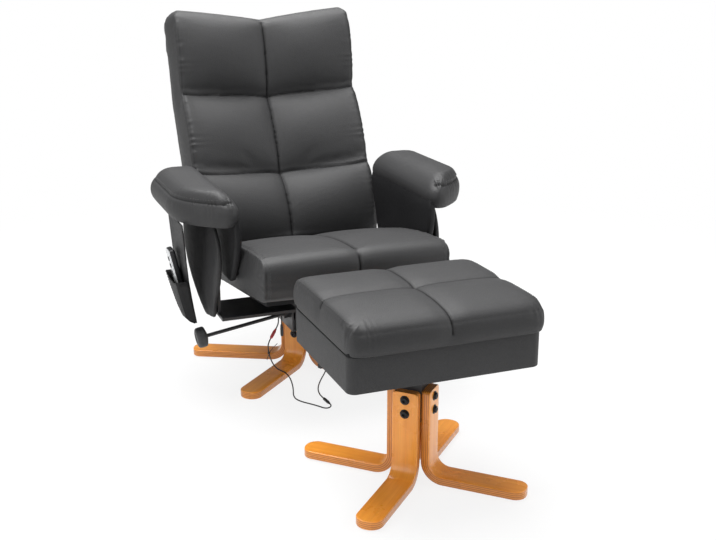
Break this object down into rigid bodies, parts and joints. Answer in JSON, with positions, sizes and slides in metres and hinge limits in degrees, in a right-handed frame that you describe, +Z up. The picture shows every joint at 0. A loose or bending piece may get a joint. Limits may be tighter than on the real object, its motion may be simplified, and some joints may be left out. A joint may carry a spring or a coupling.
{
  "type": "massage recliner with footstool",
  "caption": "Padded recliner with vibration massage on a bentwood swivel base, with a matching footstool whose tufted lid opens on a storage box.",
  "frame": {"origin": "on the floor, under the middle of the chair and footstool together, measured without the loose lead", "axes": "+X to the sitter's left, -Y to the front where the footstool stands, +Z up"},
  "size_m": [0.8302, 1.4106, 0.9947],
  "materials": {
    "faux_leather": "soft satin grain",
    "bentwood": "gloss lacquer",
    "black_steel": "satin",
    "bolt_steel": "black oxide",
    "pocket_cloth": "woven",
    "felt": "felt",
    "board": "black cambric cover",
    "black_plastic": "moulded",
    "lead_jacket": "satin",
    "red_plastic": "moulded",
    "silver_plastic": "satin",
    "key_rubber": "matte"
  },
  "bodies": {
    "chair_base": {"base_leg_1": "bentwood", "base_leg_2": "bentwood", "base_leg_3": "bentwood", "base_leg_4": "bentwood", "base_leg_5": "bentwood", "base_hub": "black_steel", "base_leg_bolts": "bolt_steel", "base_glides": "felt", "swivel_bushing": "black_plastic", "thrust_washer": "black_plastic", "lead_clip": "black_plastic", "power_lead": "lead_jacket", "lead_tie": "black_plastic", "inline_plug": "black_plastic", "tail_lead": "lead_jacket"},
    "swivel_seat": {"swivel_spindle": "black_steel", "spindle_ring": "black_steel", "carrier": "black_steel", "seat_bolts": "bolt_steel", "recline_pin": "bolt_steel", "seat_board": "board", "seat_cushion": "faux_leather", "seat_motors": "black_plastic", "arm_braces": "black_steel", "arm_post_left": "faux_leather", "arm_post_right": "faux_leather", "arm_panel_left": "faux_leather", "arm_panel_right": "faux_leather", "arm_pad_left": "faux_leather", "arm_pad_right": "faux_leather", "control_box": "black_plastic", "side_pocket": "pocket_cloth", "black_lead": "lead_jacket", "black_plug": "black_plastic", "red_lead": "lead_jacket", "red_plug": "red_plastic"},
    "backrest": {"back_bracket": "black_steel", "back_board": "board", "back_cushion": "faux_leather", "back_motors": "black_plastic", "back_bolts": "bolt_steel"},
    "lock_link": {"lock_link": "black_steel"},
    "lock_lever": {"lock_rod": "black_steel", "lock_knob": "black_plastic"},
    "hand_control": {"remote_case": "silver_plastic"},
    "power_key": {"remote_key_power": "key_rubber"},
    "mode_key": {"remote_key_mode": "key_rubber"},
    "heat_key": {"remote_key_heat": "key_rubber"},
    "footstool": {"stool_leg_1": "bentwood", "stool_leg_2": "bentwood", "stool_leg_3": "bentwood", "stool_leg_4": "bentwood", "stool_hub": "black_steel", "stool_leg_bolts": "bolt_steel", "stool_glides": "felt", "stool_box": "faux_leather", "box_hinges": "black_steel"},
    "footstool_lid": {"lid_board": "board", "lid_cushion": "faux_leather", "lid_hinges": "black_steel"}
  },
  "joints": [
    {"name": "seat_swivel", "type": "hinge", "parent": "chair_base", "child": "swivel_seat", "pos_m": [0, 0.28114, 0.15], "axis": [0, 0, 1], "continuous": true},
    {"name": "back_recline", "type": "hinge", "parent": "swivel_seat", "child": "backrest", "pos_m": [0, 0.39115, 0.3], "axis": [-1, 0, 0], "range_deg": [0, 30]},
    {"name": "link_pivot", "type": "hinge", "parent": "backrest", "child": "lock_link", "pos_m": [0, 0.39115, 0.23], "axis": [-1, 0, 0], "range_deg": [-34, 0]},
    {"name": "lock_turn", "type": "hinge", "parent": "swivel_seat", "child": "lock_lever", "pos_m": [-0.095, 0.13115, 0.203], "axis": [-0.9877, 0, -0.1564], "range_deg": [0, 270]},
    {"name": "control_lift", "type": "slide", "parent": "swivel_seat", "child": "hand_control", "axis": [-0.2079, 0, 0.9781], "range_m": [0, 0.11]},
    {"name": "power_press", "type": "slide", "parent": "hand_control", "child": "power_key", "axis": [0.9781, 0, 0.2079], "range_m": [0, 0.0012], "stiffness_N_per_m": 900},
    {"name": "mode_press", "type": "slide", "parent": "hand_control", "child": "mode_key", "axis": [0.9781, 0, 0.2079], "range_m": [0, 0.0012], "stiffness_N_per_m": 900},
    {"name": "heat_press", "type": "slide", "parent": "hand_control", "child": "heat_key", "axis": [0.9781, 0, 0.2079], "range_m": [0, 0.0012], "stiffness_N_per_m": 900},
    {"name": "footstool_slide", "type": "slide", "parent": "chair_base", "child": "footstool", "axis": [0, -1, 0], "range_m": [0, 0.3]},
    {"name": "lid_hinge", "type": "hinge", "parent": "footstool", "child": "footstool_lid", "pos_m": [0, -0.31885, 0.387], "axis": [-1, 0, 0], "range_deg": [0, 95]}
  ],
  "couplings": [
    {"joint": "link_pivot", "follows": "back_recline", "ratio": -1.1333}
  ]
}
